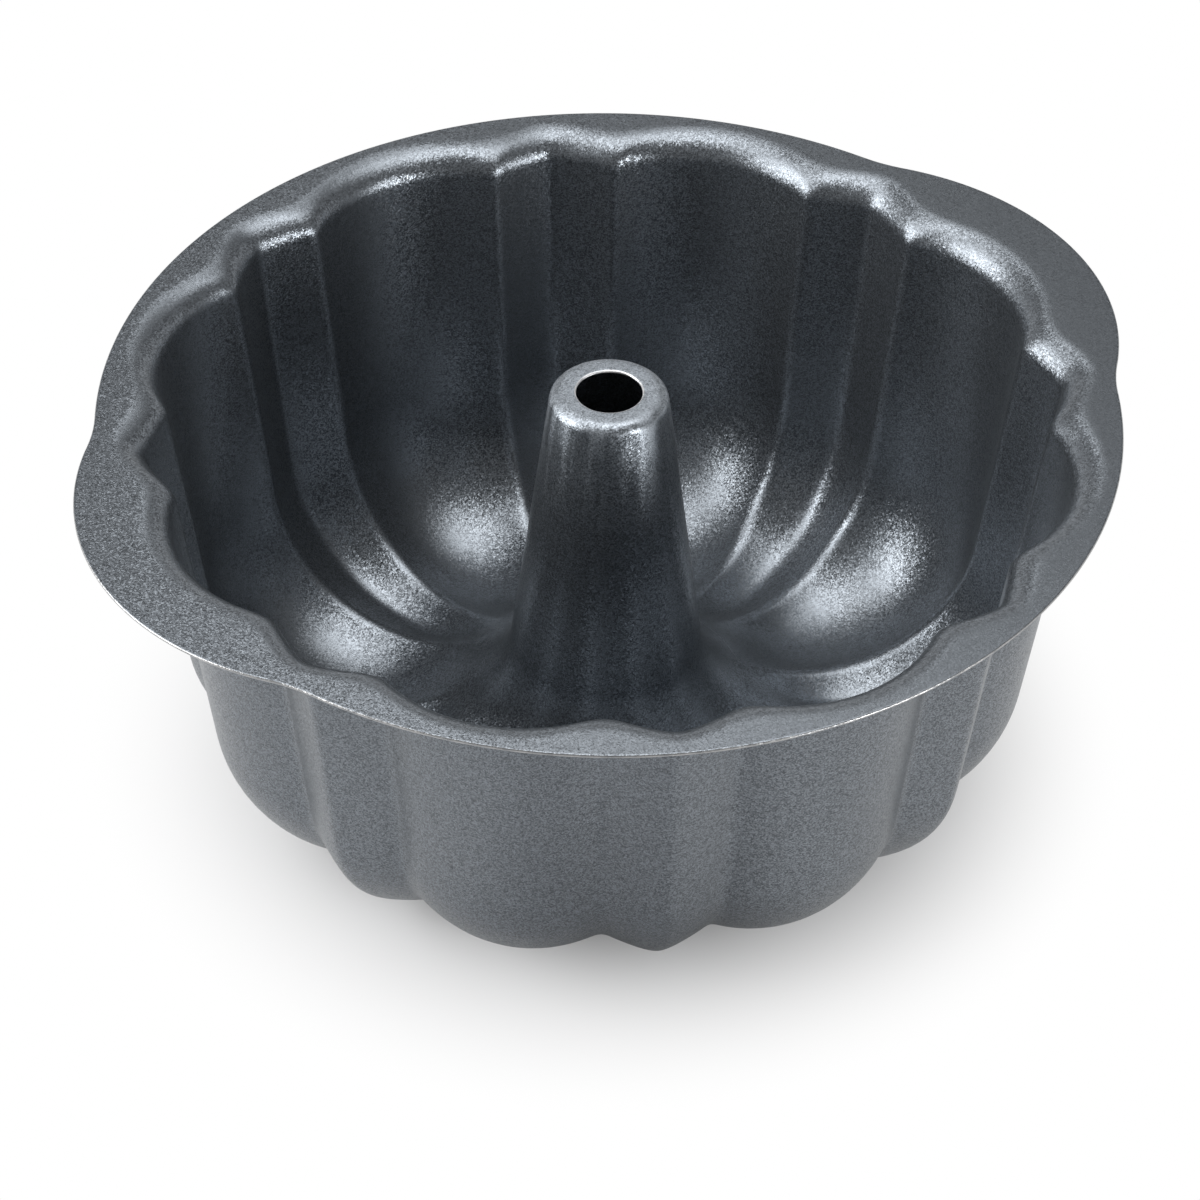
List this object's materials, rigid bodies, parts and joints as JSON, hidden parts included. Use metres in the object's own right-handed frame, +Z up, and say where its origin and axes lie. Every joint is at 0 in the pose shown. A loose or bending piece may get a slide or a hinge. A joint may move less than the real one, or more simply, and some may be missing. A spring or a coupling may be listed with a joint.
{
  "type": "fluted cake pan",
  "caption": "Deep round sheet-steel cake pan with a lobed, fluted wall and floor, a flat rim with grip tabs and a tapered centre tube.",
  "frame": {"origin": "on the table plane under the middle of the centre tube", "axes": "+Z up along the tube's axis, +X along the line through the two grip tabs"},
  "size_m": [0.214, 0.1968, 0.0873],
  "materials": {
    "bowl_coating": "satin dark grey non-stick coating with a fine metallic grain, on pressed steel sheet",
    "tube_coating": "satin dark grey non-stick coating with a fine metallic grain, on drawn steel sheet"
  },
  "bodies": {
    "root": {"fluted_bowl": "bowl_coating", "centre_tube": "tube_coating"}
  },
  "joints": []
}
